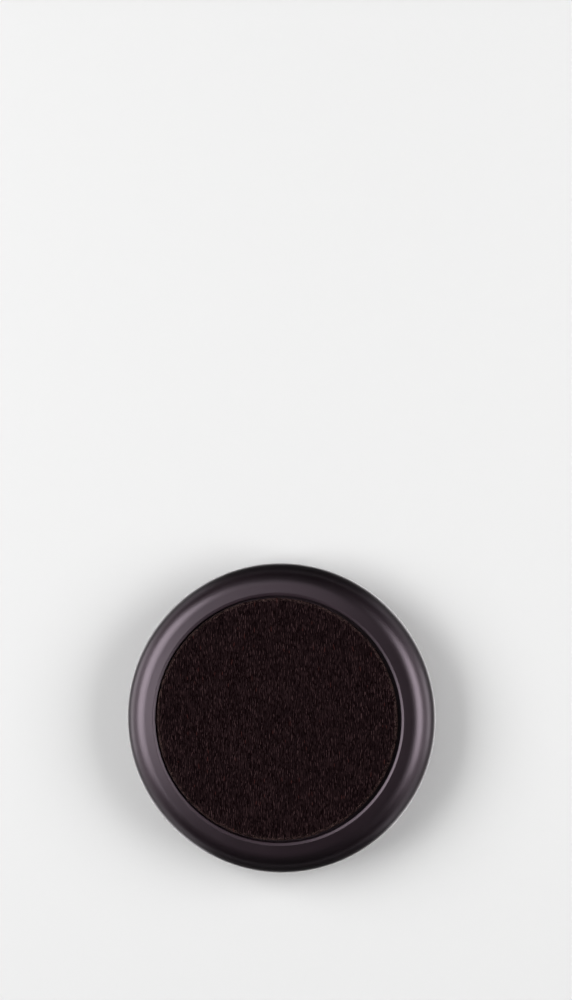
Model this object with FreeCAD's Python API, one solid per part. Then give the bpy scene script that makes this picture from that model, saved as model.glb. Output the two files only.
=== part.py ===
"""Castor cup with a felt base: a moulded dish that a furniture castor stands in, and a felt disc stuck in a
pocket under it.

Millimetres, +Z up. The origin is on the floor, under the middle of the felt.
"""

import FreeCAD
import Part

import math
import os

# The moulded cup, outside
OUTER_DIAMETER = 60.0
CUP_HEIGHT = 11.6  # from the underside of the lip to the crest of the rim
UNDERSIDE_WIDTH = 1.5  # the band round the lip, which rises outwards to the flank
UNDERSIDE_RISE_DEG = 9.0
FLANK_RADIUS = 4.9  # rounds the underside up to the widest line
CREST_INSET = 3.4  # from the widest line in to the crest of the rim
RIM_RADIUS = 1.3

# The dish that holds the castor
WALL_DRAFT_DEG = 15.0
DISH_COVE = 2.2  # bevels the corner between the wall and the floor
DISH_FLOOR_THICKNESS = 2.0

# The pocket for the felt, and the lip round it
POCKET_DEPTH = 1.6
LIP_CHAMFER_WIDTH = 0.55  # the flat that leads from the lip up into the pocket
LIP_CHAMFER_DEG = 25.0

# The felt disc
FELT_THICKNESS = 2.0
FELT_CLEARANCE = 0.55  # all round, between the cut edge and the pocket's wall

# Radii that follow from the sizes above
OUTER_RADIUS = OUTER_DIAMETER / 2
FLANK_START_RADIUS = OUTER_RADIUS - FLANK_RADIUS * (1 - math.sin(math.radians(UNDERSIDE_RISE_DEG)))
CREST_RADIUS = OUTER_RADIUS - CREST_INSET
LIP_RADIUS = FLANK_START_RADIUS - UNDERSIDE_WIDTH
POCKET_RADIUS = LIP_RADIUS - LIP_CHAMFER_WIDTH
FELT_RADIUS = POCKET_RADIUS - FELT_CLEARANCE

# Heights above the floor that follow from the sizes above
POCKET_CEILING = FELT_THICKNESS
LIP_HEIGHT = POCKET_CEILING - POCKET_DEPTH
POCKET_MOUTH_HEIGHT = LIP_HEIGHT + LIP_CHAMFER_WIDTH * math.tan(math.radians(LIP_CHAMFER_DEG))
FLANK_START_HEIGHT = LIP_HEIGHT + UNDERSIDE_WIDTH * math.tan(math.radians(UNDERSIDE_RISE_DEG))
WIDEST_HEIGHT = FLANK_START_HEIGHT + FLANK_RADIUS * math.cos(math.radians(UNDERSIDE_RISE_DEG))
RIM_HEIGHT = LIP_HEIGHT + CUP_HEIGHT
DISH_FLOOR_HEIGHT = POCKET_CEILING + DISH_FLOOR_THICKNESS


def at(radius, height):
    """A point of a section."""
    return FreeCAD.Vector(radius, 0, height)


def arc(centre, radius, start_deg, end_deg):
    """Part of a circle in a section, from one direction to another: 0 points outwards and 90 up."""
    points = []
    for degrees in (start_deg, (start_deg + end_deg) / 2, end_deg):
        turn = math.radians(degrees)
        points.append(centre + at(radius * math.cos(turn), radius * math.sin(turn)))
    return Part.Arc(*points)


def turned(section):
    """The solid turned about Z from a section: points and arcs, from the axis out and back to the axis.

    Straight edges join them, except where two arcs meet.
    """
    edges = []
    last = section[-1]
    for item in section:
        is_arc = isinstance(item, Part.Arc)
        start = item.StartPoint if is_arc else item
        if not last.isEqual(start, FreeCAD.Base.Precision.confusion()):
            edges.append(Part.makeLine(last, start))
        if is_arc:
            edges.append(item.toShape())
        last = item.EndPoint if is_arc else item
    return Part.Face(Part.Wire(edges)).revolve(FreeCAD.Vector(0, 0, 0), FreeCAD.Vector(0, 0, 1), 360)


def make_cup():
    """One moulding: felt pocket and lip below, rounded flank and domed rim outside, coved dish above.

    The dome starts upright at the widest line and runs into the rim with no edge between them, which
    settles its radius.
    """
    flank = arc(at(OUTER_RADIUS - FLANK_RADIUS, WIDEST_HEIGHT), FLANK_RADIUS, UNDERSIDE_RISE_DEG - 90, 0)

    rim_centre = at(CREST_RADIUS, RIM_HEIGHT - RIM_RADIUS)
    rise = rim_centre.z - WIDEST_HEIGHT
    dome_radius = (CREST_INSET**2 + rise**2 - RIM_RADIUS**2) / (2 * (CREST_INSET - RIM_RADIUS))
    lean_deg = math.degrees(math.asin(rise / (dome_radius - RIM_RADIUS)))
    dome = arc(at(OUTER_RADIUS - dome_radius, WIDEST_HEIGHT), dome_radius, 0, lean_deg)
    rim = arc(rim_centre, RIM_RADIUS, lean_deg, 180 - WALL_DRAFT_DEG)

    lean_in = math.tan(math.radians(WALL_DRAFT_DEG))
    corner_radius = rim.EndPoint.x - (rim.EndPoint.z - DISH_FLOOR_HEIGHT) * lean_in
    return turned(
        [
            at(0, POCKET_CEILING),
            at(POCKET_RADIUS, POCKET_CEILING),
            at(POCKET_RADIUS, POCKET_MOUTH_HEIGHT),
            at(LIP_RADIUS, LIP_HEIGHT),
            flank,
            dome,
            rim,
            at(corner_radius + DISH_COVE * lean_in, DISH_FLOOR_HEIGHT + DISH_COVE),
            at(corner_radius - DISH_COVE, DISH_FLOOR_HEIGHT),
            at(0, DISH_FLOOR_HEIGHT),
        ]
    )


def make_felt_pad():
    """The die-cut felt disc, flat against the pocket's ceiling and proud of the lip."""
    return turned([at(0, 0), at(FELT_RADIUS, 0), at(FELT_RADIUS, FELT_THICKNESS), at(0, FELT_THICKNESS)])


def main():
    os.makedirs("parts", exist_ok=True)
    pieces = {"cup": make_cup(), "felt_pad": make_felt_pad()}
    for name, shape in pieces.items():
        shape.exportStep(f"parts/{name}.step")
        print(name, "valid", shape.isValid(), "solids", len(shape.Solids), "mm3", round(shape.Volume, 1))


main()
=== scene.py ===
import math

import bpy
import numpy as np
from bpy.props import FloatProperty, FloatVectorProperty, IntProperty, PointerProperty
from mathutils import Matrix, Vector


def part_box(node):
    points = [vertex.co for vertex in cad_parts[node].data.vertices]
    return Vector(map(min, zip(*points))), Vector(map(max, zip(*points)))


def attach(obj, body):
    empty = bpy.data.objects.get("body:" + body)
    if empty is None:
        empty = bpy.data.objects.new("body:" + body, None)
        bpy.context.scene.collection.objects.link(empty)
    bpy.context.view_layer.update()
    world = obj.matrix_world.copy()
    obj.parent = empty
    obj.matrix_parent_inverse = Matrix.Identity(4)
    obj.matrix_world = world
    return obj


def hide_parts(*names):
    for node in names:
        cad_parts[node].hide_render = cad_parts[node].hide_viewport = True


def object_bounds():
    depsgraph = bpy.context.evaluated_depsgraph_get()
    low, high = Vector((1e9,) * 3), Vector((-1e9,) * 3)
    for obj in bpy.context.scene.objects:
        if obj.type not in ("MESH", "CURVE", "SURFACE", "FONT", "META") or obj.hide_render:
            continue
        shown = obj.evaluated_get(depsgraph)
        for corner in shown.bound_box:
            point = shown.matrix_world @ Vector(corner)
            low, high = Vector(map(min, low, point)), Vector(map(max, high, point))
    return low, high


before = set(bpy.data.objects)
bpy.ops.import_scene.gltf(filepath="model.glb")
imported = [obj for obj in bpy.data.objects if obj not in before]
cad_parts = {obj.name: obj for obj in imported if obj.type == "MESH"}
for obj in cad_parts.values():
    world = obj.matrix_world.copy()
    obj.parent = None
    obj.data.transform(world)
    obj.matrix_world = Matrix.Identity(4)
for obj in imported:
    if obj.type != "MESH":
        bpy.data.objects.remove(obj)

# A castor cup seen from under its felt: a moulded dish, a felt disc in a pocket under it, and the felt's
# nap. Metres, +Z up; the origin is on the floor, under the middle of the felt.

bl_info = {
    "name": "Castor cup with a felt base",
    "version": (1, 0, 0),
    "blender": (4, 5, 0),
    "location": "3D View > Sidebar > Castor Cup",
    "description": "Builds a felt-based castor cup on its frame and sets it on a pale studio stage",
    "category": "Object",
}

MM = 0.001
CAD_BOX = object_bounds()
CUP_LOW, CUP_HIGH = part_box("cup")
FELT_LOW, FELT_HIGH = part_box("felt_pad")
SEED = 60

# The photograph's frame, and where the cup's outline lies in it
IMAGE_WIDTH = 572
IMAGE_HEIGHT = 1000
OUTLINE_CENTRE_PX = (280.9, 717.9)
OUTLINE_RADIUS_PX = 154.6

# Points along the stretches of the cup's section
FLANK_POINTS = 40
DOME_POINTS = 24
RIM_POINTS = 24
COVE_POINTS = 18
EDGE_POINTS = 8
CORNER_POINTS = 6
DISH_FLOOR_POINTS = 13
RUN_POINTS = 9
SHORT_RUN_POINTS = 6

# Points along the stretches of the felt's section, and round it
FACE_POINTS = 72
CUT_EDGE_POINTS = 9
CUT_SIDE_POINTS = 7
TOP_EDGE_POINTS = 4
TOP_POINTS = 8
FELT_SEGMENTS = 288

# How the felt's face rolls and its cut edge wanders: heights, and the shortest and longest waves
WAVE_COUNT = 24
ROLL_HEIGHT = 0.012 * MM
ROLL_LENGTHS = (1.2 * MM, 5 * MM)
EDGE_WANDER = 0.05 * MM
WANDER_LENGTHS = (0.6 * MM, 4 * MM)

# A fibre's three rings: shares of the way from tip to tip and of the full width, and their flatness
RING_SHARES = (0.2, 0.5, 0.8)
RING_WIDTHS = (0.85, 1.0, 0.75)
FIBRE_FLATNESS = 0.6

# The nap's fibres, as ranges of shares: level of the nap's depth, length of the fibre pitch, width of the
# fibre width, and bow of the way down to the lowest level, which is a share of the width
LIGHT_LEVELS = (0.55, 0.8)
DARK_LEVELS = (0.8, 0.98)
NAP_LENGTHS = (0.7, 1.35)
NAP_WIDTHS = (0.75, 1.2)
NAP_BOWS = (0.3, 0.95)
LOWEST_LEVEL = 0.32
NAP_SCATTER_DEG = 7

# The loose fibres of the cut edge: turns of its rounding, level of the nap's depth, lengths, widths and bow
EDGE_TURNS = (-0.25 * np.pi, 0.5 * np.pi)
EDGE_LEVEL = 0.7
EDGE_LENGTHS_MM = (0.3, 0.75)
EDGE_WIDTHS = (0.5, 0.9)
EDGE_BOW = -0.05 * MM
EDGE_SCATTER = 0.5

# Tints of the fibres from dark to light; those over the stray tint are red
LIGHT_TINTS = (0.35, 1)
DARK_TINTS = (0, 0.25)
EDGE_TINTS = (0.3, 0.98)
STRAY_TINT = 0.99
TINT_POWER = 1.6

# The lip's duller edge: how far out it fades, and how high it goes
LIP_FADE = 0.15 * MM
LIP_DULL_HEIGHT = 0.5 * MM

# The papers: their half side, the gap between the cup and each, and the radii between which they turn into
# the even background
PAPER_HALF = 6.0
PAPER_GAP = 0.1 * MM
EVEN_RADII = (0.15, 0.6)

# Painted shade in the floor that only reflections see, dark patches in front of the cup and behind it: the
# radii between which they fade, and the sines of the turn from the sides between which they set in
PATCH_RADII = (0.033, 0.09)
PATCH_TURN = (0.35, 0.8)
PAINTED_SHADE_GREY = (0.02, 0.02, 0.02)

# The floor's window: how far it goes past the cup, and how long a ray from above may be to pass. Inside the
# lip and at it that is a length each; further out it grows from a start outside the lip.
WINDOW_MARGIN = 2.0 * MM
PASS_INSIDE = 4.0 * MM
PASS_AT_LIP = 1.3 * MM
LIP_STRIP_INWARD = 0.37 * MM
LIP_STRIP_OUTWARD = 0.03 * MM
PASS_START = 0.546 * MM
PASS_SLOPE = 0.57

# The dark skirt under the lip
SKIRT_DEPTH = 6.0 * MM
SKIRT_GAP = 0.01 * MM
SKIRT_SEGMENTS = 96

# The dark boards that only reflections see
FLAG_DISTANCE = 0.5
FLAG_HALF = 0.35
FLAG_LOW = -0.15
FLAG_HIGH = 1.1

# Lamps: name, direction from the cup, distance, width, height and radiance. The low ones stand under the
# floor.
LAMPS = [
    ("left_low", (0.735, 0.147, -0.6626), 0.7, 0.44, 0.64, 6.2),
    ("right_low", (-0.809, 0.06, -0.588), 0.7, 0.375, 0.62, 6.3),
    ("fill_low", (0.2, 0.42, -0.87), 0.9, 0.55, 0.45, 0.85),
    ("left_side", (1.0, 0.06, 0.1), 0.8, 0.4, 0.6, 1.8),
    ("right_side", (-1.0, 0.02, 0.1), 0.8, 0.4, 0.5, 2.2),
    ("overhead", (0.1, -0.08, 1.0), 0.9, 1.3, 1.25, 1.9),
]
LAMP_UP = (0, 1, 0.01)

# The background by the sine of a direction's height: dim under the floor's edge and overhead
FLOOR_EDGE = (-0.06, -0.03)
OVERHEAD_START = (0.25, 0.5)
DIM_BELOW = 0.1
DIM_OVERHEAD = 0.2

# The camera: its sensor in millimetres, and the nearest that it sees
SENSOR_WIDTH = 36.0
CLIP_START = 0.01


class CupSizes(bpy.types.PropertyGroup):
    """Sizes and colour of the moulded cup, whose section is the solid's with its small edges rounded"""

    outer_radius: FloatProperty(
        name="Outer radius", description="At the widest line", default=CUP_HIGH.x, unit="LENGTH", precision=5
    )
    lip_height: FloatProperty(
        name="Lip height", description="Of the lip round the felt", default=CUP_LOW.z,
        unit="LENGTH", precision=5,
    )
    rim_height: FloatProperty(
        name="Rim height", description="Of the rim's crest", default=CUP_HIGH.z, unit="LENGTH", precision=5
    )
    underside_width: FloatProperty(
        name="Underside width", description="Of the band round the lip", default=1.5 * MM, unit="LENGTH"
    )
    underside_rise: FloatProperty(
        name="Underside rise", description="Of that band", default=math.radians(9), subtype="ANGLE"
    )
    flank_radius: FloatProperty(
        name="Flank radius", description="From the underside to the widest line", default=4.9 * MM,
        unit="LENGTH",
    )
    crest_inset: FloatProperty(
        name="Crest inset", description="From the widest line in to the crest", default=3.4 * MM,
        unit="LENGTH",
    )
    rim_radius: FloatProperty(
        name="Rim radius", description="Rounds the rim over", default=1.3 * MM, unit="LENGTH"
    )
    wall_draft: FloatProperty(
        name="Wall draft", description="Lean of the dish wall", default=math.radians(15), subtype="ANGLE"
    )
    cove: FloatProperty(
        name="Cove", description="How far the dish corner's rounding runs", default=2.2 * MM, unit="LENGTH"
    )
    floor_thickness: FloatProperty(
        name="Floor thickness", description="Between dish and felt", default=2.0 * MM, unit="LENGTH"
    )
    chamfer_width: FloatProperty(
        name="Chamfer width", description="From the lip in to the pocket", default=0.55 * MM, unit="LENGTH"
    )
    chamfer_angle: FloatProperty(
        name="Chamfer angle", description="Off the level", default=math.radians(25), subtype="ANGLE"
    )
    edge_rounding: FloatProperty(
        name="Edge rounding", description="Of the small edges", default=0.16 * MM, unit="LENGTH", precision=5
    )
    segments: IntProperty(name="Segments", description="Round the axis", default=288, min=24)
    lip_dulling: FloatProperty(
        name="Lip dulling", description="Extra roughness of the lip's edge", default=0.12, min=0, max=0.6
    )
    colour: FloatVectorProperty(
        name="Plastic", description="Dark brown of the moulding", default=(0.0138, 0.0070, 0.0102),
        subtype="COLOR", min=0, max=1,
    )


class FeltSizes(bpy.types.PropertyGroup):
    """Sizes and colours of the felt disc and the fibres on it"""

    radius: FloatProperty(
        name="Radius", description="Of the cut disc", default=FELT_HIGH.x, unit="LENGTH", precision=5
    )
    thickness: FloatProperty(
        name="Thickness", description="Nap and all", default=FELT_HIGH.z - FELT_LOW.z,
        unit="LENGTH", precision=5,
    )
    shift: FloatProperty(
        name="Shift", description="How far off the middle it was stuck", default=0.2 * MM,
        unit="LENGTH", precision=5,
    )
    nap_depth: FloatProperty(
        name="Nap depth", description="From the fibres' tips to the face", default=0.2 * MM, unit="LENGTH"
    )
    edge_rounding: FloatProperty(
        name="Edge rounding", description="Of the cut edge", default=0.25 * MM, unit="LENGTH"
    )
    dark_count: IntProperty(name="Dark fibres", description="Low in the nap", default=5200, min=1)
    lane_pitch: FloatProperty(
        name="Lane pitch", description="Between the lanes of light fibres", default=0.36 * MM, unit="LENGTH"
    )
    fibre_pitch: FloatProperty(
        name="Fibre pitch", description="Along a lane", default=1.0 * MM, unit="LENGTH"
    )
    edge_count: IntProperty(name="Edge fibres", description="Round the cut edge", default=2600, min=1)
    fibre_width: FloatProperty(
        name="Fibre width", description="Of a tuft of fibres", default=0.155 * MM, unit="LENGTH", precision=5
    )
    dark: FloatVectorProperty(
        name="Dark fibre", description="Most of the felt", default=(0.0033, 0.0013, 0.0017),
        subtype="COLOR", min=0, max=1,
    )
    light: FloatVectorProperty(
        name="Light fibre", description="The fibres on top", default=(0.0660, 0.0365, 0.0390),
        subtype="COLOR", min=0, max=1,
    )
    # Edge fibre colour: the felt's brown made lighter than the nap's fibres, a painted highlight where the
    # rounded cut edge catches light
    edge: FloatVectorProperty(
        name="Edge fibre", description="The loose ends round the cut edge", default=(0.115, 0.070, 0.066),
        subtype="COLOR", min=0, max=1,
    )
    red: FloatVectorProperty(
        name="Red fibre", description="A few stray fibres", default=(0.048, 0.016, 0.015),
        subtype="COLOR", min=0, max=1,
    )


class StageSizes(bpy.types.PropertyGroup):
    """Where the camera stands, and the stage round the cup"""

    distance: FloatProperty(
        name="Camera distance", description="To the cup", default=0.8, unit="LENGTH"
    )
    lean_left: FloatProperty(
        name="Lean left", description="Of the view, off the cup's axis", default=math.radians(6.5),
        subtype="ANGLE",
    )
    lean_down: FloatProperty(
        name="Lean down", description="Of the view, off the cup's axis", default=math.radians(3.2),
        subtype="ANGLE",
    )
    pale: FloatVectorProperty(
        name="Floor colour", description="Of the paper under the cup", default=(0.86, 0.86, 0.86),
        subtype="COLOR", min=0, max=1,
    )
    backdrop: FloatVectorProperty(
        name="Backdrop colour", description="Of the paper behind the cup", default=(0.66, 0.66, 0.66),
        subtype="COLOR", min=0, max=1,
    )
    glow: FloatProperty(name="Glow", description="Level of the even background", default=0.86, min=0)
    ambient: FloatProperty(name="Ambient", description="Light from all round", default=0.15, min=0)


def arc(centre, radius, start_deg, end_deg, count):
    """Points of a circle in a section, from one direction to another: 0 points outwards and 90 up."""
    turn = np.radians(np.linspace(start_deg, end_deg, count))
    return np.stack([centre[0] + radius * np.cos(turn), centre[1] + radius * np.sin(turn)], axis=1)


def run(start, end, count):
    """Points of a straight stretch, closer together towards both ends.

    The share of the way along is (1 - cos t) / 2, with t from 0 to pi.
    """
    share = (1 - np.cos(np.linspace(0, np.pi, count))) / 2
    return np.outer(1 - share, start) + np.outer(share, end)


def rounded(before, corner, after, radius, count):
    """The arc that touches both sides of a section's corner.

    Its centre is on the line that halves the corner's angle, radius / sin(half of it) from the corner.
    """
    sides = np.array([before, after]) - corner
    sides /= np.linalg.norm(sides, axis=1, keepdims=True)
    half = math.acos(sides[0] @ sides[1]) / 2
    middle = (sides[0] + sides[1]) / np.linalg.norm(sides[0] + sides[1])
    centre = corner + middle * radius / math.sin(half)
    touch = corner + sides * radius / math.tan(half) - centre
    start, end = np.unwrap(np.arctan2(touch[:, 1], touch[:, 0]))
    return arc(centre, radius, math.degrees(start), math.degrees(end), count)


def joined(stretches):
    """One profile from stretches that start where the last one ended, without the doubled points."""
    return np.concatenate([stretches[0], *(stretch[1:] for stretch in stretches[1:])])


def revolved(profile, segments):
    """The grid of a profile turned about Z: (step i, angle a) is at (r_i cos a, r_i sin a, z_i)."""
    angle = np.arange(segments) * (2 * np.pi / segments)
    radius = profile[:, 0, None]
    height = np.broadcast_to(profile[:, 1, None], (len(profile), segments))
    return np.stack([radius * np.cos(angle), radius * np.sin(angle), height], axis=2)


def ring_faces(index):
    """The four-sided faces between neighbouring rings of points, from the points' numbers in a grid."""
    beside = np.roll(index, -1, axis=1)
    return np.stack([index[:-1], beside[:-1], beside[1:], index[1:]], axis=2).reshape(-1, 4)


def closed_mesh(name, grid, first_pole, last_pole):
    """A closed mesh from rings of points, with a fan of triangles at each pole.

    The rings run from a pole underneath, out round the piece and back to a pole on top.
    """
    rings, segments = grid.shape[:2]
    points = np.concatenate([grid.reshape(-1, 3), [first_pole], [last_pole]])
    index = np.arange(rings * segments).reshape(rings, segments)
    beside = np.roll(index, -1, axis=1)
    low = np.full(segments, rings * segments)
    first_fan = np.stack([low, beside[0], index[0]], axis=1)
    last_fan = np.stack([low + 1, index[-1], beside[-1]], axis=1)
    faces = ring_faces(index).tolist() + first_fan.tolist() + last_fan.tolist()
    mesh = bpy.data.meshes.new(name)
    mesh.from_pydata(points.tolist(), [], faces)
    mesh.shade_smooth()
    return mesh


def add_piece(name, mesh, material):
    """Puts a finished mesh into the scene at the origin, riding on the cup's one body."""
    mesh.validate()
    mesh.materials.append(material)
    piece = bpy.data.objects.new(name, mesh)
    bpy.context.scene.collection.objects.link(piece)
    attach(piece, "root")
    return piece


def lip_radius(cup):
    """Radius of the lip, inside the underside band and the flank."""
    flank_start = cup.outer_radius - cup.flank_radius * (1 - math.sin(cup.underside_rise))
    return flank_start - cup.underside_width


def widest_height(cup):
    """Height of the widest line, where the flank's arc ends upright."""
    flank_height = cup.lip_height + cup.underside_width * math.tan(cup.underside_rise)
    return flank_height + cup.flank_radius * math.cos(cup.underside_rise)


def cup_profile(cup):
    """The cup's section, from the axis at the pocket's ceiling, down and round outside, to the dish floor.

    A chamfer leads from the pocket's wall to the lip, and the underside band rises from the lip to the
    flank. The flank's arc leaves the band and ends upright at the widest line. The dome starts there and
    touches the rim's arc, which settles its radius: with the rim's centre at inset c and rise h, it is
    (c² + h² - rim²) / 2(c - rim). The dish wall leans in to a coved corner.
    """
    if cup.crest_inset <= cup.rim_radius:
        raise ValueError("the rim's crest has to lie further in than the rim's own radius")
    ceiling = FELT_HIGH.z
    rise_deg = math.degrees(cup.underside_rise)
    lip = np.array([lip_radius(cup), cup.lip_height])
    mouth = lip + cup.chamfer_width * np.array([-1, math.tan(cup.chamfer_angle)])
    pocket = np.array([mouth[0], ceiling])
    widest = widest_height(cup)
    flank_centre = (cup.outer_radius - cup.flank_radius, widest)
    flank = arc(flank_centre, cup.flank_radius, rise_deg - 90, 0, FLANK_POINTS)

    rim_centre = (cup.outer_radius - cup.crest_inset, cup.rim_height - cup.rim_radius)
    rise = rim_centre[1] - widest
    reach = cup.crest_inset - cup.rim_radius
    dome_radius = (cup.crest_inset**2 + rise**2 - cup.rim_radius**2) / (2 * reach)
    lean_deg = math.degrees(math.asin(rise / (dome_radius - cup.rim_radius)))
    dome = arc((cup.outer_radius - dome_radius, widest), dome_radius, 0, lean_deg, DOME_POINTS)
    rim = arc(rim_centre, cup.rim_radius, lean_deg, 180 - math.degrees(cup.wall_draft), RIM_POINTS)

    floor = ceiling + cup.floor_thickness
    corner = np.array([rim[-1, 0] - (rim[-1, 1] - floor) * math.tan(cup.wall_draft), floor])
    cove_radius = cup.cove * math.tan(math.radians(45) + cup.wall_draft / 2)
    cove = rounded(rim[-1], corner, (0, floor), cove_radius, COVE_POINTS)
    pocket_corner = rounded((0, ceiling), pocket, mouth, cup.edge_rounding, CORNER_POINTS)
    mouth_edge = rounded(pocket, mouth, lip, cup.edge_rounding, EDGE_POINTS)
    lip_edge = rounded(mouth, lip, flank[0], cup.edge_rounding, EDGE_POINTS)

    return joined(
        [
            run((0, ceiling), pocket_corner[0], RUN_POINTS),
            pocket_corner,
            run(pocket_corner[-1], mouth_edge[0], SHORT_RUN_POINTS),
            mouth_edge,
            run(mouth_edge[-1], lip_edge[0], SHORT_RUN_POINTS),
            lip_edge,
            run(lip_edge[-1], flank[0], RUN_POINTS),
            flank,
            dome,
            rim,
            run(rim[-1], cove[0], RUN_POINTS),
            cove,
            run(cove[-1], (0, floor), DISH_FLOOR_POINTS),
        ]
    )


def waves(points, lengths, generator):
    """A gently rolling height over points of a plane: the sum of plane waves over the root of their count.

    Each wave is cos(k · p + phase), with its heading, wavelength and phase drawn by the generator.
    """
    heading = generator.uniform(0, 2 * np.pi, WAVE_COUNT)
    pace = 2 * np.pi / generator.uniform(*lengths, WAVE_COUNT)
    phase = generator.uniform(0, 2 * np.pi, WAVE_COUNT)
    along = points[..., 0, None] * np.cos(heading) + points[..., 1, None] * np.sin(heading)
    return np.cos(along * pace + phase).sum(axis=-1) / math.sqrt(WAVE_COUNT)


def felt_grid(felt):
    """The felt disc's rings: across the face, round the cut edge and back over the top.

    The face rolls by about a hundredth of a millimetre, and the cut edge wanders in and out by a few
    hundredths. Both follow plane waves, and the edge's share grows from the middle as radius to the eighth
    power.
    """
    generator = np.random.default_rng(SEED)
    face = felt.nap_depth
    round_in = felt.radius - felt.edge_rounding
    edge_low = (round_in, face + felt.edge_rounding)
    top_edge = felt.edge_rounding / 4
    top_in = felt.radius - top_edge
    top_low = felt.thickness - top_edge
    profile = joined(
        [
            run((0, face), (round_in, face), FACE_POINTS),
            arc(edge_low, felt.edge_rounding, -90, 0, CUT_EDGE_POINTS),
            run((felt.radius, edge_low[1]), (felt.radius, top_low), CUT_SIDE_POINTS),
            arc((top_in, top_low), top_edge, 0, 90, TOP_EDGE_POINTS),
            run((top_in, felt.thickness), (0, felt.thickness), TOP_POINTS),
        ]
    )
    grid = revolved(profile[1:-1], FELT_SEGMENTS)
    lower = np.clip((felt.thickness / 2 - grid[..., 2]) / (felt.thickness / 2), 0, 1)
    grid[..., 2] += ROLL_HEIGHT * waves(grid, ROLL_LENGTHS, generator) * lower
    radius = np.hypot(grid[..., 0], grid[..., 1])
    edge_share = (radius / felt.radius) ** 8
    wander = EDGE_WANDER * waves(grid, WANDER_LENGTHS, generator) * edge_share
    grid[..., :2] *= (1 + wander / np.maximum(radius, MM))[..., None]
    return grid


def spindles(name, centres, heading, length, width, bow, tint):
    """Many small fibres in one mesh, each a closed three-sided spindle.

    At share t from tip to tip, a fibre's middle line is its centre plus (t - 1/2) length along its heading,
    raised by bow (1 - (2t - 1)²). Three rings of three points stand round that line, and a point closes
    each tip.
    """
    count = len(centres)
    share = np.array([0.0, *RING_SHARES, 1.0])
    along = np.stack([np.cos(heading), np.sin(heading), np.zeros(count)], axis=1)
    across = np.stack([-np.sin(heading), np.cos(heading), np.zeros(count)], axis=1)
    line = centres[:, None] + (share - 0.5)[:, None] * (length[:, None] * along)[:, None]
    line[..., 2] += bow[:, None] * (1 - (2 * share - 1) ** 2)
    corner = np.radians([90, 210, 330])
    reach = width[:, None] / 2 * np.array(RING_WIDTHS)
    rings = line[:, 1:4, None] + reach[:, :, None, None] * np.cos(corner)[:, None] * across[:, None, None]
    rings[..., 2] += reach[:, :, None] * np.sin(corner) * FIBRE_FLATNESS
    points = np.concatenate([line[:, :1], rings.reshape(count, 9, 3), line[:, 4:]], axis=1)
    per_fibre = points.shape[1]

    ring = np.arange(9).reshape(3, 3) + 1
    beside = np.roll(ring, -1, axis=1)
    sides = np.stack([ring[:-1], ring[1:], beside[1:], beside[:-1]], axis=2).reshape(-1, 4)
    start = np.stack([np.zeros(3, int), ring[0], beside[0]], axis=1)
    end = np.stack([np.full(3, per_fibre - 1), beside[2], ring[2]], axis=1)
    first = np.arange(count)[:, None, None] * per_fibre
    quads = (first + sides).reshape(-1, 4)
    fans = (first + np.concatenate([start, end])).reshape(-1, 3)
    mesh = bpy.data.meshes.new(name)
    mesh.from_pydata(points.reshape(-1, 3).tolist(), [], quads.tolist() + fans.tolist())
    mesh.shade_smooth()
    colour = mesh.attributes.new("fibre_tint", "FLOAT", "POINT")
    colour.data.foreach_set("value", np.repeat(tint, per_fibre).astype(np.float32))
    return mesh


def nap_mesh(felt):
    """The brushed nap: light fibres in lanes along Y over dark ones that lie anywhere.

    A light fibre stands near a point of a grid, lane_pitch apart across and fibre_pitch along, with each
    lane slid along by its own share. A dark fibre's place is radius √u at angle v, with u and v drawn
    evenly. Each lies half sunk in the face, and its middle bows down towards the tips' level.
    """
    generator = np.random.default_rng(SEED + 1)
    reach = felt.radius - felt.edge_rounding
    lanes = np.arange(-reach, reach, felt.lane_pitch)
    steps = np.arange(-reach, reach, felt.fibre_pitch)
    slide = generator.uniform(0, felt.fibre_pitch, len(lanes))
    across = lanes[:, None] + generator.normal(0, felt.lane_pitch / 4, (len(lanes), len(steps)))
    along = steps + slide[:, None] + generator.normal(0, felt.fibre_pitch / 6, across.shape)
    light = np.stack([across.ravel(), along.ravel()], axis=1)
    light = light[np.hypot(light[:, 0], light[:, 1]) < reach]
    radius = reach * np.sqrt(generator.uniform(0, 1, felt.dark_count))
    angle = generator.uniform(0, 2 * np.pi, felt.dark_count)
    dark = np.stack([radius * np.cos(angle), radius * np.sin(angle)], axis=1)

    count = len(light) + len(dark)
    is_light = np.arange(count) < len(light)
    light_level = generator.uniform(*LIGHT_LEVELS, count)
    dark_level = generator.uniform(*DARK_LEVELS, count)
    level = felt.nap_depth * np.where(is_light, light_level, dark_level)
    centres = np.column_stack([np.concatenate([light, dark]), level])
    centres[:, 0] += felt.shift
    heading = np.radians(90 + generator.normal(0, NAP_SCATTER_DEG, count))
    length = felt.fibre_pitch * generator.uniform(*NAP_LENGTHS, count)
    width = felt.fibre_width * generator.uniform(*NAP_WIDTHS, count)
    bow = (width * LOWEST_LEVEL - level) * generator.uniform(*NAP_BOWS, count)
    light_tint = generator.uniform(*LIGHT_TINTS, count)
    dark_tint = generator.uniform(*DARK_TINTS, count)
    tint = np.where(is_light, light_tint, dark_tint)
    return spindles("felt_nap", centres, heading, length, width, bow, tint)


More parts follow.
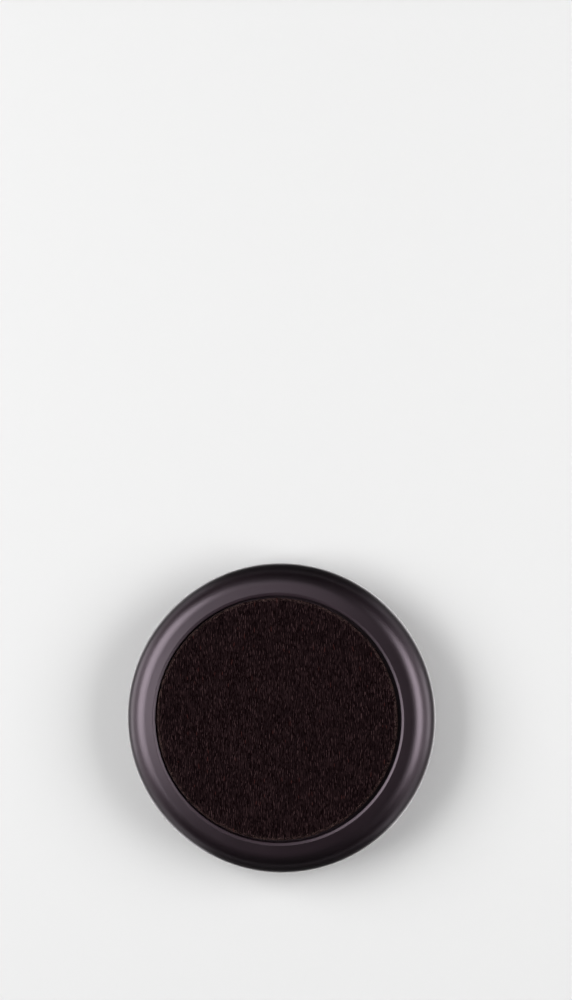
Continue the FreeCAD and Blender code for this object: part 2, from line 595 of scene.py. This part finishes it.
def edge_mesh(felt):
    """Loose fibres round the cut edge: each stands near it and points along it, with some scatter.

    Round the disc at angle a, a fibre sits at turn b of the cut edge's rounding, on the rounding's own
    circle, or on the face a little further in where b is negative.
    """
    generator = np.random.default_rng(SEED + 2)
    count = felt.edge_count
    angle = generator.uniform(0, 2 * np.pi, count)
    turn = generator.uniform(*EDGE_TURNS, count)
    radius = felt.radius - felt.edge_rounding * (1 - np.where(turn > 0, np.sin(turn), turn))
    height = felt.nap_depth * EDGE_LEVEL + felt.edge_rounding * (1 - np.cos(np.maximum(turn, 0)))
    centres = np.stack([felt.shift + radius * np.cos(angle), radius * np.sin(angle), height], axis=1)
    heading = angle + np.pi / 2 + generator.normal(0, EDGE_SCATTER, count)
    length = generator.uniform(*EDGE_LENGTHS_MM, count) * MM
    width = felt.fibre_width * generator.uniform(*EDGE_WIDTHS, count)
    bow = EDGE_BOW * generator.uniform(0, 1, count)
    tint = generator.uniform(*EDGE_TINTS, count)
    return spindles("felt_edge_fibres", centres, heading, length, width, bow, tint)


def node(tree, kind, values=None, **settings):
    """A new shader node with its settings, and the values of its input sockets by name or number."""
    made = tree.nodes.new(kind)
    for name, value in settings.items():
        setattr(made, name, value)
    for key, value in (values or {}).items():
        socket = made.inputs[key]
        if isinstance(value, bpy.types.NodeSocket):
            tree.links.new(value, socket)
        else:
            socket.default_value = value
    return made


def math_node(tree, operation, first, second=0.0):
    """The result of one step of arithmetic."""
    return node(tree, "ShaderNodeMath", {0: first, 1: second}, operation=operation).outputs[0]


def ranged(tree, value, start=0.0, end=1.0, first=0.0, last=1.0, ease="LINEAR"):
    """A value carried over from the range start to end to the range first to last, and held at its ends."""
    values = {0: value, 1: start, 2: end, 3: first, 4: last}
    return node(tree, "ShaderNodeMapRange", values, interpolation_type=ease).outputs[0]


def object_place(tree):
    """The place on the piece, in its own Object coordinates."""
    return node(tree, "ShaderNodeTexCoord").outputs["Object"]


def effect_group(name, inputs, output):
    """An empty shader group that takes a place and some numbers and puts out one value."""
    group = bpy.data.node_groups.new(name, "ShaderNodeTree")
    group.interface.new_socket("Vector", in_out="INPUT", socket_type="NodeSocketVector")
    for label in inputs:
        group.interface.new_socket(label, in_out="INPUT", socket_type="NodeSocketFloat")
    group.interface.new_socket(output, in_out="OUTPUT", socket_type="NodeSocketFloat")
    return group, group.nodes.new("NodeGroupInput").outputs, group.nodes.new("NodeGroupOutput").inputs


def fibre_streaks_group():
    """Streaks along Y: noise stretched by two counts of streaks per metre, then spread from 0 to 1."""
    if "Fibre Streaks" in bpy.data.node_groups:
        return bpy.data.node_groups["Fibre Streaks"]
    group, given, result = effect_group("Fibre Streaks", ["Across", "Along"], "Streaks")
    counts = node(group, "ShaderNodeCombineXYZ", {0: given["Across"], 1: given["Along"], 2: given["Across"]})
    stretch = {0: given["Vector"], 1: counts.outputs[0]}
    place = node(group, "ShaderNodeVectorMath", stretch, operation="MULTIPLY").outputs[0]
    pattern = {"Vector": place, "Scale": 1.0, "Detail": 3.0, "Distortion": 0.3}
    noise = node(group, "ShaderNodeTexNoise", pattern).outputs[0]
    group.links.new(ranged(group, noise, 0.3, 0.7, ease="SMOOTHSTEP"), result["Streaks"])
    return group


def soft_mottle_group():
    """Slow changes of tone: noise at a count of patches per metre, spread from 0 to 1."""
    if "Soft Mottle" in bpy.data.node_groups:
        return bpy.data.node_groups["Soft Mottle"]
    group, given, result = effect_group("Soft Mottle", ["Patches"], "Mottle")
    pattern = {"Vector": given["Vector"], "Scale": given["Patches"], "Detail": 3.0}
    noise = node(group, "ShaderNodeTexNoise", pattern).outputs[0]
    group.links.new(ranged(group, noise, 0.25, 0.75), result["Mottle"])
    return group


def new_material(name):
    """A new material, with its node tree and its Principled BSDF."""
    material = bpy.data.materials.new(name)
    material.use_nodes = True
    return material, material.node_tree, material.node_tree.nodes["Principled BSDF"]


def placed(tree, group, values):
    """An effect group's output at the piece's own Object coordinates."""
    effect = node(tree, "ShaderNodeGroup", node_tree=group)
    tree.links.new(object_place(tree), effect.inputs["Vector"])
    for label, value in values.items():
        effect.inputs[label].default_value = value
    return effect.outputs[0]


def toned(tree, factor, first, second):
    """A colour between two colours."""
    mix = node(tree, "ShaderNodeMix", data_type="RGBA")
    tree.links.new(factor, mix.inputs["Factor"])
    mix.inputs["A"].default_value = (*first, 1)
    mix.inputs["B"].default_value = (*second, 1)
    return mix.outputs["Result"]


def plastic_material(cup):
    """Satin moulded plastic: a slow mottle in tone and gloss, a duller edge at the lip and a fine grain."""
    material, tree, shader = new_material("cup_plastic_satin")
    mottle = placed(tree, soft_mottle_group(), {"Patches": 160.0})
    lighter = tuple(1.22 * part for part in cup.colour)
    tree.links.new(toned(tree, mottle, tuple(cup.colour), lighter), shader.inputs["Base Color"])

    place = object_place(tree)
    far = node(tree, "ShaderNodeVectorMath", {0: place}, operation="LENGTH").outputs["Value"]
    height = node(tree, "ShaderNodeSeparateXYZ", {0: place}).outputs["Z"]
    lip = lip_radius(cup)
    inside = ranged(tree, far, lip, lip + LIP_FADE, 1.0, 0.0)
    low = math_node(tree, "LESS_THAN", height, cup.lip_height + LIP_DULL_HEIGHT)
    dull = math_node(tree, "MULTIPLY", math_node(tree, "MULTIPLY", inside, low), cup.lip_dulling)
    gloss = ranged(tree, mottle, first=0.30, last=0.35)
    tree.links.new(math_node(tree, "ADD", gloss, dull), shader.inputs["Roughness"])

    grain = node(tree, "ShaderNodeTexNoise", {"Vector": place, "Scale": 7000.0, "Detail": 2.0}).outputs[0]
    bump = node(tree, "ShaderNodeBump", {"Strength": 0.12, "Distance": 0.02 * MM, "Height": grain})
    tree.links.new(bump.outputs[0], shader.inputs["Normal"])
    shader.inputs["Specular IOR Level"].default_value = 0.75
    shader.inputs["Specular Tint"].default_value = (1.0, 0.84, 0.97, 1)
    return material


def felt_material(felt):
    """The felt's body: dark fibres in streaks along Y over a slow mottle."""
    material, tree, shader = new_material("felt_body")
    streaks = placed(tree, fibre_streaks_group(), {"Across": 6000.0, "Along": 700.0})
    mottle = placed(tree, soft_mottle_group(), {"Patches": 300.0})
    slow = ranged(tree, mottle, first=0.14, last=0.34)
    both = math_node(tree, "MULTIPLY", streaks, slow)
    tree.links.new(toned(tree, both, tuple(felt.dark), tuple(felt.light)), shader.inputs["Base Color"])
    bump = node(tree, "ShaderNodeBump", {"Strength": 0.8, "Distance": 0.06 * MM, "Height": streaks})
    tree.links.new(bump.outputs[0], shader.inputs["Normal"])
    finish_fibre(shader)
    return material


def fibre_material(name, felt, light):
    """Loose fibres: each has its own tone between the dark colour and a light one, and a few are red."""
    material, tree, shader = new_material(name)
    tint = node(tree, "ShaderNodeAttribute", attribute_name="fibre_tint").outputs["Fac"]
    streaks = placed(tree, fibre_streaks_group(), {"Across": 9000.0, "Along": 900.0})
    shade = ranged(tree, streaks, first=0.35)
    tone = math_node(tree, "MULTIPLY", math_node(tree, "POWER", tint, TINT_POWER), shade)
    brown = toned(tree, tone, tuple(felt.dark), tuple(light))
    stray = math_node(tree, "GREATER_THAN", tint, STRAY_TINT)
    mix = node(tree, "ShaderNodeMix", {"Factor": stray, "A": brown}, data_type="RGBA")
    mix.inputs["B"].default_value = (*felt.red, 1)
    tree.links.new(mix.outputs["Result"], shader.inputs["Base Color"])
    finish_fibre(shader)
    return material


def finish_fibre(shader):
    """Dull fibre, with next to no gloss of its own."""
    shader.inputs["Roughness"].default_value = 0.92
    shader.inputs["Specular IOR Level"].default_value = 0.01


class CASTORCUP_OT_moulded_cup(bpy.types.Operator):
    """Turn the moulded cup from its section"""

    bl_idname = "castor_cup.moulded_cup"
    bl_label = "Moulded cup"

    def execute(self, context):
        cup = context.scene.castor_cup_cup
        profile = cup_profile(cup)
        grid = revolved(profile[1:-1], cup.segments)
        poles = [(0, 0, profile[0, 1]), (0, 0, profile[-1, 1])]
        mesh = closed_mesh("moulded_cup", grid, *poles)
        piece = add_piece("moulded_cup", mesh, plastic_material(cup))
        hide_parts("cup")
        return {"FINISHED"}


class CASTORCUP_OT_felt(bpy.types.Operator):
    """Make the felt disc, its nap and the loose fibres of its cut edge"""

    bl_idname = "castor_cup.felt"
    bl_label = "Felt and its fibres"

    def execute(self, context):
        felt = context.scene.castor_cup_felt
        grid = felt_grid(felt)
        grid[..., 0] += felt.shift
        poles = [(felt.shift, 0, grid[0, :, 2].mean()), (felt.shift, 0, felt.thickness)]
        mesh = closed_mesh("felt_disc", grid, *poles)
        disc = add_piece("felt_disc", mesh, felt_material(felt))
        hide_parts("felt_pad")
        brushed = fibre_material("felt_fibres", felt, felt.light)
        nap = add_piece("felt_nap", nap_mesh(felt), brushed)
        # The cut edge's fibres take the lighter edge colour, a painted highlight along the edge
        loose = fibre_material("felt_loose_ends_painted_highlight", felt, felt.edge)
        edge = add_piece("felt_edge_fibres", edge_mesh(felt), loose)
        return {"FINISHED"}


def cut_away(tree, opening, shader):
    """Ends a material: the shader shows where the opening is 0, and rays pass where it is 1."""
    clear = node(tree, "ShaderNodeBsdfTransparent").outputs[0]
    mix = node(tree, "ShaderNodeMixShader", {0: opening, 1: shader, 2: clear})
    tree.links.new(mix.outputs[0], tree.nodes["Material Output"].inputs["Surface"])


def paper_material(name, colour, glow, cup):
    """Pale matt paper that shows from its front only, and far out turns into the even pale background.

    Reflections see painted shade in it, a dark patch before the cup and behind it. Near the cup, rays from
    close above pass, other than the camera's, and so do shadow rays from further off than the cup's height.
    So the lamps under the floor reach the cup's underside and the backdrop, but not the cup's sides.
    """
    material, tree, shader = new_material(name)
    shader.inputs["Roughness"].default_value = 1.0
    shader.inputs["Specular IOR Level"].default_value = 0.0
    path = node(tree, "ShaderNodeLightPath").outputs
    place = object_place(tree)
    far = node(tree, "ShaderNodeVectorMath", {0: place}, operation="LENGTH").outputs["Value"]

    # Painted shade: near the cup, in front of it and behind it, reflections see the paper darkened to a grey
    near = ranged(tree, far, *PATCH_RADII, 1.0, 0.0, "SMOOTHSTEP")
    aside = math_node(tree, "ABSOLUTE", node(tree, "ShaderNodeSeparateXYZ", {0: place}).outputs["Y"])
    share = math_node(tree, "DIVIDE", aside, far)
    facing = ranged(tree, share, *PATCH_TURN, ease="SMOOTHSTEP")
    patch = math_node(tree, "MULTIPLY", math_node(tree, "MULTIPLY", near, facing), path["Is Glossy Ray"])
    tree.links.new(toned(tree, patch, colour, PAINTED_SHADE_GREY), shader.inputs["Base Color"])

    fade = ranged(tree, far, *EVEN_RADII, ease="SMOOTHSTEP")
    even = node(tree, "ShaderNodeEmission", {"Color": (glow, glow, glow, 1), "Strength": 1.0})
    front = node(tree, "ShaderNodeMixShader", {0: fade, 1: shader.outputs[0], 2: even.outputs[0]})

    lip = lip_radius(cup)
    unseen = math_node(tree, "SUBTRACT", 1.0, path["Is Camera Ray"])
    near_cup = math_node(tree, "LESS_THAN", far, cup.outer_radius + WINDOW_MARGIN)
    outward = math_node(tree, "MULTIPLY", math_node(tree, "SUBTRACT", far, lip + PASS_START), PASS_SLOPE)
    lip_strip = (lip - LIP_STRIP_INWARD, lip + LIP_STRIP_OUTWARD)
    inward = ranged(tree, far, *lip_strip, PASS_INSIDE, PASS_AT_LIP)
    longest = math_node(tree, "MAXIMUM", outward, inward)
    short = math_node(tree, "LESS_THAN", path["Ray Length"], longest)
    through = math_node(tree, "MULTIPLY", math_node(tree, "MULTIPLY", unseen, near_cup), short)
    deep = math_node(tree, "GREATER_THAN", path["Ray Length"], cup.rim_height + PAPER_GAP)
    past = math_node(tree, "MULTIPLY", path["Is Shadow Ray"], deep)
    behind = node(tree, "ShaderNodeNewGeometry").outputs["Backfacing"]
    opening = math_node(tree, "MAXIMUM", behind, math_node(tree, "MAXIMUM", through, past))
    cut_away(tree, opening, front.outputs[0])
    return material


def add_stage_piece(name, points, faces, material, hidden, height=0.0):
    """Puts a mesh of the stage into the scene at a height, hidden from the named kinds of ray."""
    mesh = bpy.data.meshes.new(name)
    mesh.from_pydata(points, [], faces)
    mesh.materials.append(material)
    made = bpy.data.objects.new(name, mesh)
    made.location.z = height
    for kind in hidden:
        setattr(made, f"visible_{kind}", False)
    bpy.context.scene.collection.objects.link(made)


def add_paper(name, height, side, material, hidden):
    """A flat square of paper, facing up where side is 1 and down where it is -1."""
    half = PAPER_HALF
    flip = half * side
    corners = [(-half, -flip, 0), (half, -flip, 0), (half, flip, 0), (-half, flip, 0)]
    add_stage_piece(name, corners, [(0, 1, 2, 3)], material, hidden, height)


def add_skirt(cup):
    """A dark ring under the lip that only rays from close outside it meet.

    It hides the lamps across the floor from the underside band and the flank. A ray from inside it or from
    further off passes.
    """
    material, tree, shader = new_material("skirt")
    shader.inputs["Base Color"].default_value = (0.0, 0.0, 0.0, 1)
    shader.inputs["Specular IOR Level"].default_value = 0.0
    behind = node(tree, "ShaderNodeNewGeometry").outputs["Backfacing"]
    length = node(tree, "ShaderNodeLightPath").outputs["Ray Length"]
    far = math_node(tree, "GREATER_THAN", length, SKIRT_DEPTH)
    cut_away(tree, math_node(tree, "MAXIMUM", behind, far), shader.outputs[0])
    lip = lip_radius(cup)
    section = np.array([(lip, -SKIRT_DEPTH), (lip, cup.lip_height - SKIRT_GAP)])
    points = revolved(section, SKIRT_SEGMENTS).reshape(-1, 3)
    faces = ring_faces(np.arange(len(points)).reshape(2, SKIRT_SEGMENTS))
    add_stage_piece("skirt", points.tolist(), faces.tolist(), material, ("camera", "diffuse"))


def add_flag(name, y):
    """A dark upright board that only reflections see, so that the cup's front and back keep their depth."""
    material, _, shader = new_material(name)
    shader.inputs["Base Color"].default_value = (0.01, 0.01, 0.01, 1)
    low = [(-FLAG_HALF, y, FLAG_LOW), (FLAG_HALF, y, FLAG_LOW)]
    high = [(FLAG_HALF, y, FLAG_HIGH), (-FLAG_HALF, y, FLAG_HIGH)]
    add_stage_piece(name, low + high, [(0, 1, 2, 3)], material, ("camera", "shadow", "diffuse"))


def camera_axes(direction, up):
    """The turn of a camera or lamp that looks along a direction: its right, up and back axes as columns."""
    right = direction.cross(up).normalized()
    return Matrix((right, right.cross(direction), -direction)).transposed()


def soft_box(name, direction, distance, width, height, radiance):
    """A rectangular lamp that faces the cup; its power is radiance times pi times its area."""
    lamp = bpy.data.lights.new(name, "AREA")
    lamp.shape = "RECTANGLE"
    lamp.size = width
    lamp.size_y = height
    lamp.energy = radiance * math.pi * width * height
    made = bpy.data.objects.new(name, lamp)
    towards = -Vector(direction).normalized()
    turn = camera_axes(towards, Vector(LAMP_UP))
    made.matrix_world = Matrix.Translation(towards * -distance) @ turn.to_4x4()
    made.visible_camera = False
    bpy.context.scene.collection.objects.link(made)


def add_camera(stage, outer_radius, target):
    """A camera under the cup that sees its outline where the photograph has it.

    The view at the cup leans off the cup's axis; the camera is turned so that this line of sight passes
    through the outline's centre in the frame, and its lens gives the outline its radius there.
    """
    camera = bpy.data.cameras.new("camera")
    focal_px = OUTLINE_RADIUS_PX / outer_radius * stage.distance
    camera.sensor_width = SENSOR_WIDTH
    camera.lens = focal_px * SENSOR_WIDTH / IMAGE_HEIGHT
    camera.clip_start = CLIP_START
    sight = Vector((math.tan(stage.lean_left), -math.tan(stage.lean_down), 1)).normalized()
    off_x = OUTLINE_CENTRE_PX[0] - IMAGE_WIDTH / 2
    off_y = IMAGE_HEIGHT / 2 - OUTLINE_CENTRE_PX[1]
    in_frame = Vector((off_x, off_y, -focal_px)).normalized()
    image_up = Vector((0, 1, 0))
    turn = camera_axes(sight, image_up) @ camera_axes(in_frame, image_up).transposed()
    made = bpy.data.objects.new("camera", camera)
    made.matrix_world = Matrix.Translation(target - sight * stage.distance) @ turn.to_4x4()
    bpy.context.scene.collection.objects.link(made)
    bpy.context.scene.camera = made


def set_world(ambient, pale):
    """Even light from all round, with a pale background for the camera and reflections.

    The background is pale from the floor's edge up to some way above it, and dim under it and overhead.
    """
    world = bpy.data.worlds.new("studio")
    bpy.context.scene.world = world
    world.use_nodes = True
    tree = world.node_tree
    path = node(tree, "ShaderNodeLightPath").outputs
    seen = math_node(tree, "MAXIMUM", path["Is Camera Ray"], path["Is Glossy Ray"])
    seen = math_node(tree, "MAXIMUM", seen, path["Is Transmission Ray"])
    direction = node(tree, "ShaderNodeTexCoord").outputs["Generated"]
    height = node(tree, "ShaderNodeSeparateXYZ", {0: direction}).outputs["Z"]
    above = ranged(tree, height, *FLOOR_EDGE)
    upper = ranged(tree, height, *OVERHEAD_START, pale, DIM_OVERHEAD)
    shown = ranged(tree, above, first=DIM_BELOW, last=upper)
    level = ranged(tree, seen, first=ambient, last=shown)
    background = tree.nodes["Background"]
    background.inputs["Color"].default_value = (1, 1, 1, 1)
    tree.links.new(level, background.inputs["Strength"])


class CASTORCUP_OT_stage(bpy.types.Operator):
    """Set the floor, the backdrop, the soft lamps and the camera"""

    bl_idname = "castor_cup.stage"
    bl_label = "Stage"

    def execute(self, context):
        stage = context.scene.castor_cup_stage
        cup = context.scene.castor_cup_cup
        floor_paper = paper_material("floor_paper", tuple(stage.pale), stage.glow, cup)
        backdrop_paper = paper_material("backdrop_paper", tuple(stage.backdrop), stage.glow, cup)
        floor_hidden = ("diffuse", "transmission")
        backdrop_hidden = (*floor_hidden, "glossy", "shadow")
        add_paper("floor", CAD_BOX[0].z - PAPER_GAP, 1, floor_paper, floor_hidden)
        add_paper("backdrop", CAD_BOX[1].z + PAPER_GAP, -1, backdrop_paper, backdrop_hidden)
        set_world(stage.ambient, stage.glow)
        for lamp in LAMPS:
            soft_box(*lamp)
        add_skirt(cup)
        add_flag("front_flag", -FLAG_DISTANCE)
        add_flag("back_flag", FLAG_DISTANCE)
        add_camera(stage, cup.outer_radius, Vector((0, 0, widest_height(cup))))
        context.scene.view_settings.view_transform = "Standard"
        return {"FINISHED"}


class CASTORCUP_PT_panel(bpy.types.Panel):
    """Lists the cup's pieces and their sizes"""

    bl_label = "Castor Cup"
    bl_idname = "CASTORCUP_PT_panel"
    bl_space_type = "VIEW_3D"
    bl_region_type = "UI"
    bl_category = "Castor Cup"

    def draw(self, context):
        for group, operator in STEPS:
            box = self.layout.box()
            box.operator(operator)
            sizes = getattr(context.scene, group)
            for name in sizes.__annotations__:
                box.prop(sizes, name)


STEPS = [
    ("castor_cup_stage", CASTORCUP_OT_stage.bl_idname),
    ("castor_cup_cup", CASTORCUP_OT_moulded_cup.bl_idname),
    ("castor_cup_felt", CASTORCUP_OT_felt.bl_idname),
]
CLASSES = [
    CupSizes,
    FeltSizes,
    StageSizes,
    CASTORCUP_OT_stage,
    CASTORCUP_OT_moulded_cup,
    CASTORCUP_OT_felt,
    CASTORCUP_PT_panel,
]


def register():
    for made in CLASSES:
        bpy.utils.register_class(made)
    bpy.types.Scene.castor_cup_cup = PointerProperty(type=CupSizes)
    bpy.types.Scene.castor_cup_felt = PointerProperty(type=FeltSizes)
    bpy.types.Scene.castor_cup_stage = PointerProperty(type=StageSizes)


def unregister():
    del bpy.types.Scene.castor_cup_stage
    del bpy.types.Scene.castor_cup_felt
    del bpy.types.Scene.castor_cup_cup
    for made in reversed(CLASSES):
        bpy.utils.unregister_class(made)


def main():
    register()
    bpy.ops.castor_cup.stage()
    bpy.ops.castor_cup.moulded_cup()
    bpy.ops.castor_cup.felt()


if __name__ == "__main__":
    main()
